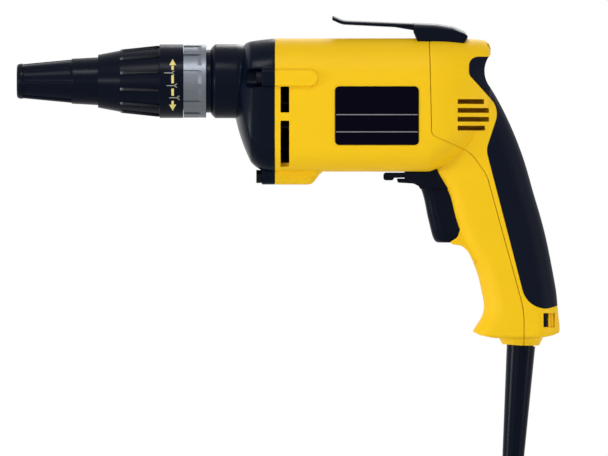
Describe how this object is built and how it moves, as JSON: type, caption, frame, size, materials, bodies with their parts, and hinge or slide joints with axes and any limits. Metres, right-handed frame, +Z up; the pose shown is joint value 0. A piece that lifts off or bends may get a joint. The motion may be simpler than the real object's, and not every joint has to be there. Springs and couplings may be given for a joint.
{
  "type": "drywall screwdriver",
  "caption": "Corded drywall screwdriver: pistol grip with trigger, motor housing, geared clutch spindle, depth-setting nose, belt hook and mains lead.",
  "frame": {"origin": "where the spindle axis leaves the back of the rear grip, in the web of the hand", "axes": "-X along the spindle towards the nose, +Z up, Y across the tool"},
  "size_m": [0.3796, 0.0702, 0.5283],
  "materials": {
    "black_casting": "satin black paint",
    "yellow_plastic": "fine moulded texture",
    "black_plastic": "moulded satin",
    "grip_rubber": "soft matt",
    "cord_rubber": "smooth sheath",
    "label_black": "smooth film",
    "silver_metal": "die-cast satin",
    "steel": "turned",
    "screw_steel": "black oxide",
    "bronze": "sintered bronze",
    "copper": "enamelled copper",
    "carbon": "carbon",
    "capacitor_plastic": "potted box",
    "switch_plunger_plastic": "smooth",
    "tie_plastic": "strap",
    "pin_brass": "nickel plate"
  },
  "bodies": {
    "tool": {"gear_case": "black_casting", "gear_case_screws": "screw_steel", "bearing_plate": "silver_metal", "gear_bearing": "steel", "front_motor_bearing": "steel", "spindle_bearing": "bronze", "spindle_seal": "grip_rubber", "nosepiece_o_ring": "grip_rubber", "clutch_spring": "steel", "stator_core": "steel", "field_coils": "copper", "brush_holders": "black_plastic", "carbon_brushes": "carbon", "rear_motor_bearing": "steel", "motor_housing": "yellow_plastic", "handle_cover": "yellow_plastic", "rear_grip": "grip_rubber", "side_labels": "label_black", "cover_screws": "screw_steel", "belt_hook": "black_plastic", "belt_hook_screw": "screw_steel", "switch_body": "black_plastic", "suppression_capacitor": "capacitor_plastic", "cord_guard": "grip_rubber", "cord_lead_in": "cord_rubber", "cord_clamp": "black_plastic", "cord_clamp_screws": "screw_steel", "power_cord": "cord_rubber", "cord_coil": "cord_rubber", "cord_tie": "tie_plastic", "plug_lead": "cord_rubber", "plug_body": "black_plastic", "plug_pins": "pin_brass"},
    "nosepiece": {"detent_ring": "silver_metal", "nosepiece_sleeve": "silver_metal"},
    "collar": {"depth_collar": "black_plastic"},
    "locator": {"nose_locator": "black_plastic"},
    "spindle_carrier": {"thrust_washer": "steel"},
    "spindle": {"spindle": "steel", "bit_retaining_ring": "steel", "bit_holder": "steel", "bit_magnet": "steel", "driver_bit": "steel"},
    "armature": {"armature_shaft": "steel", "armature_core": "steel", "armature_windings": "copper", "commutator": "copper", "cooling_fan": "black_plastic"},
    "drive_gear": {"drive_gear": "steel"},
    "trigger": {"trigger": "black_plastic", "switch_plunger": "switch_plunger_plastic"},
    "reverse_lever": {"reverse_lever": "black_plastic"}
  },
  "joints": [
    {"name": "nosepiece_pull", "type": "slide", "parent": "tool", "child": "nosepiece", "axis": [-1, 0, 0], "range_m": [0, 0.08]},
    {"name": "collar_turn", "type": "hinge", "parent": "nosepiece", "child": "collar", "pos_m": [-0.2, 0, 0], "axis": [1, 0, 0], "range_deg": [-270, 270]},
    {"name": "locator_travel", "type": "slide", "parent": "nosepiece", "child": "locator", "axis": [1, 0, 0], "range_m": [-0.00451, 0.00451]},
    {"name": "spindle_push", "type": "slide", "parent": "tool", "child": "spindle_carrier", "axis": [1, 0, 0], "range_m": [0, 0.0035], "stiffness_N_per_m": 4000, "springref_m": -0.002, "deforming": ["clutch_spring"]},
    {"name": "spindle_spin", "type": "hinge", "parent": "spindle_carrier", "child": "spindle", "pos_m": [-0.2, 0, 0], "axis": [1, 0, 0], "continuous": true},
    {"name": "armature_spin", "type": "hinge", "parent": "tool", "child": "armature", "pos_m": [-0.08, 0, -0.024], "axis": [1, 0, 0], "continuous": true},
    {"name": "gear_spin", "type": "hinge", "parent": "tool", "child": "drive_gear", "pos_m": [-0.135, 0, 0], "axis": [1, 0, 0], "continuous": true},
    {"name": "trigger_pull", "type": "slide", "parent": "tool", "child": "trigger", "axis": [1, 0, 0], "range_m": [0, 0.0065], "stiffness_N_per_m": 1500, "springref_m": -0.002},
    {"name": "lever_swing", "type": "hinge", "parent": "tool", "child": "reverse_lever", "pos_m": [-0.03272, 0, -0.057], "axis": [0, 0, 1], "range_deg": [-12, 12]}
  ],
  "couplings": [
    {"joint": "locator_travel", "follows": "collar_turn", "m_per_rad": 0.00095493},
    {"joint": "gear_spin", "follows": "armature_spin", "ratio": -0.2}
  ]
}
